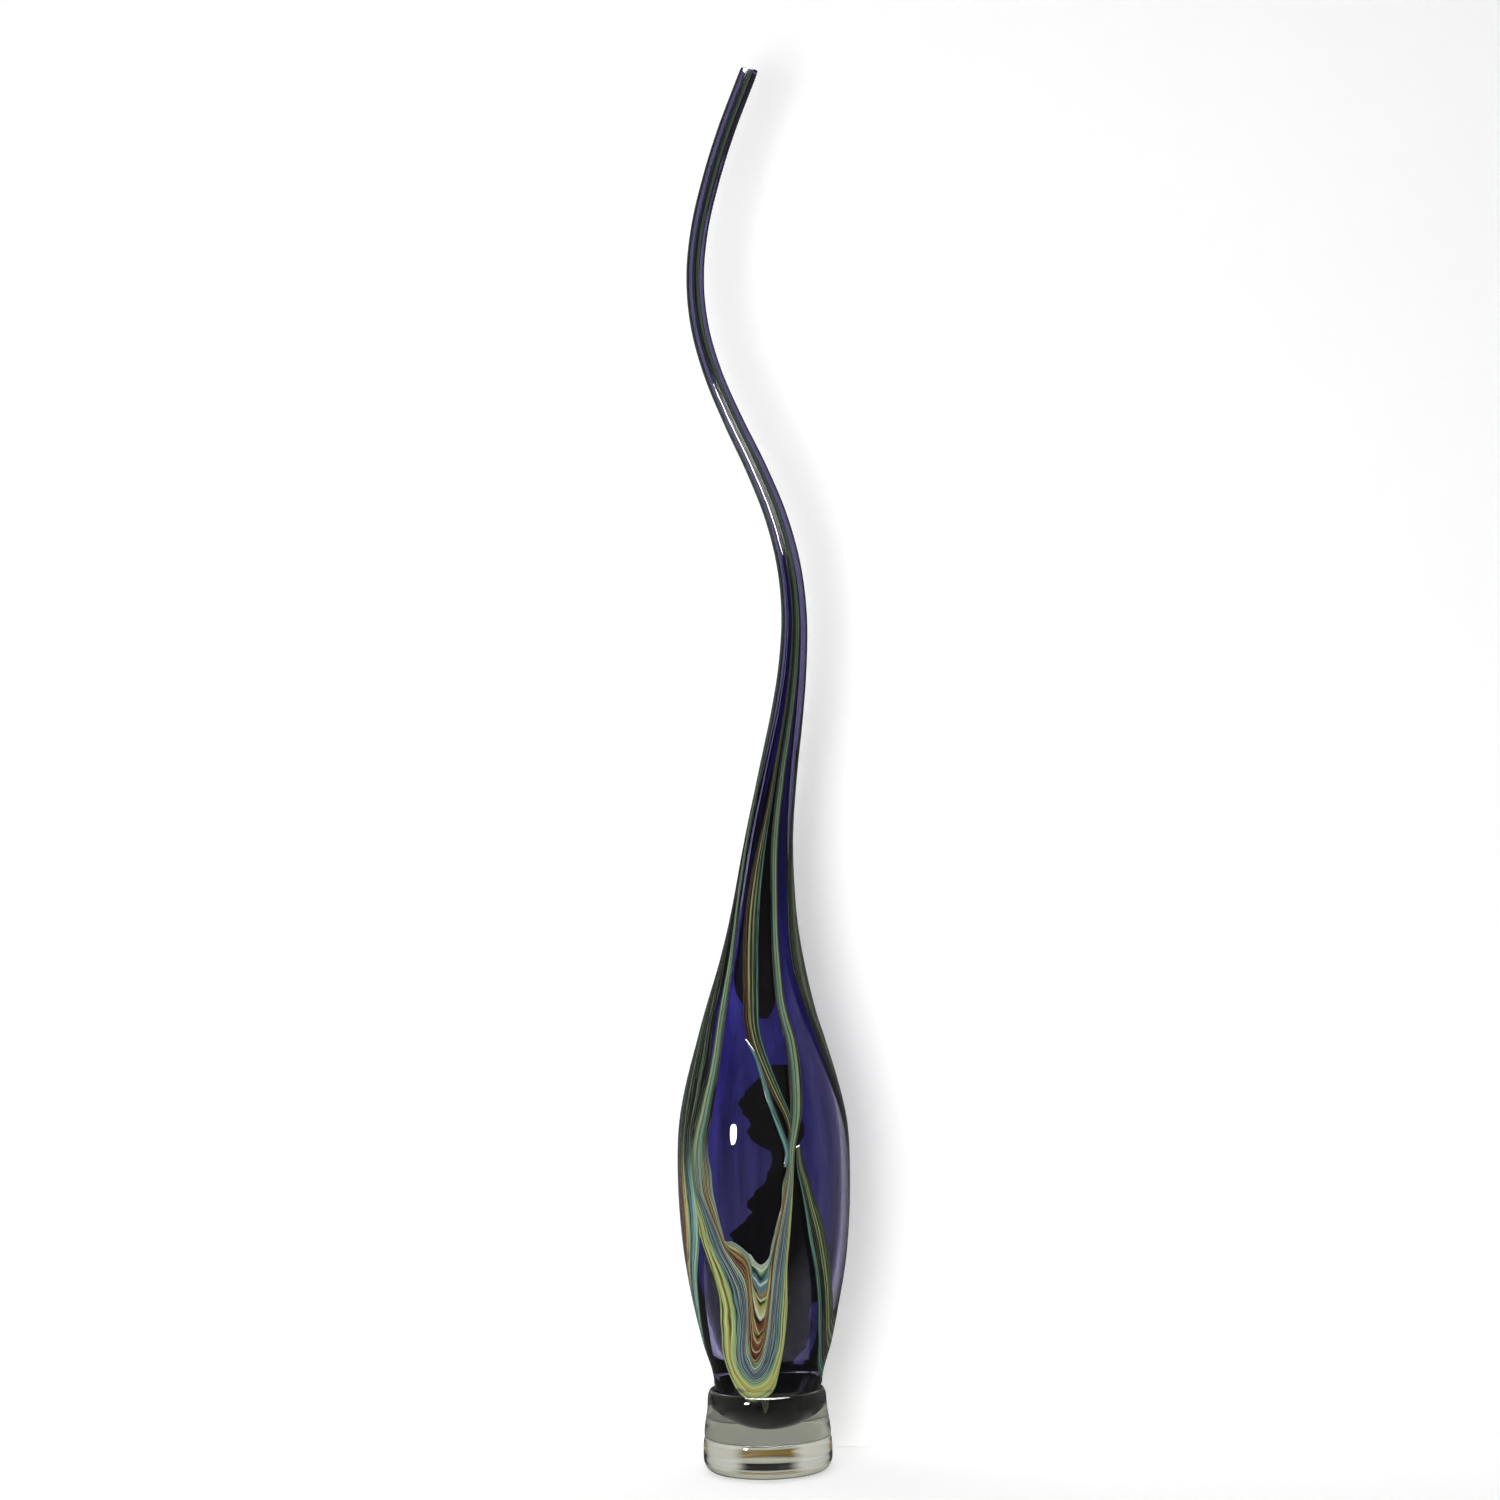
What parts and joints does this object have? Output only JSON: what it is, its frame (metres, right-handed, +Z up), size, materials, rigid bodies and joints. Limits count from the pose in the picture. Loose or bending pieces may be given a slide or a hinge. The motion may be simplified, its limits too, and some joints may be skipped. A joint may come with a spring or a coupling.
{
  "type": "tall blown glass vase",
  "caption": "Tall blown glass vase: a violet teardrop body drawn up into a long bent neck, with marbled trails and a clear foot.",
  "frame": {"origin": "on the table under the middle of the foot", "axes": "+Z up, along the foot's and the body's upright axis; -Y faces the front, where the wide draped trail hangs; +X to the right, where the neck first leans"},
  "size_m": [0.1076, 0.1077, 0.8693],
  "materials": {
    "clear_foot_glass": "fire-polished clear glass with a faint olive tint",
    "violet_glass": "transparent cobalt-violet blown glass, fire-polished",
    "marbled_glass": "opaque marbled trail glass, green, yellow, teal, ochre and rust stripes, glossy",
    "dark_trail_glass": "dark maroon-brown trail glass with marbled streaks, glossy"
  },
  "bodies": {
    "root": {"foot_disc": "clear_foot_glass", "foot_cup": "clear_foot_glass", "body_bubble": "violet_glass", "drawn_neck": "violet_glass", "front_trail": "marbled_glass", "centre_trail": "marbled_glass", "right_trail": "marbled_glass", "left_trail": "marbled_glass", "back_swag": "dark_trail_glass", "back_tongue": "dark_trail_glass"}
  },
  "joints": []
}
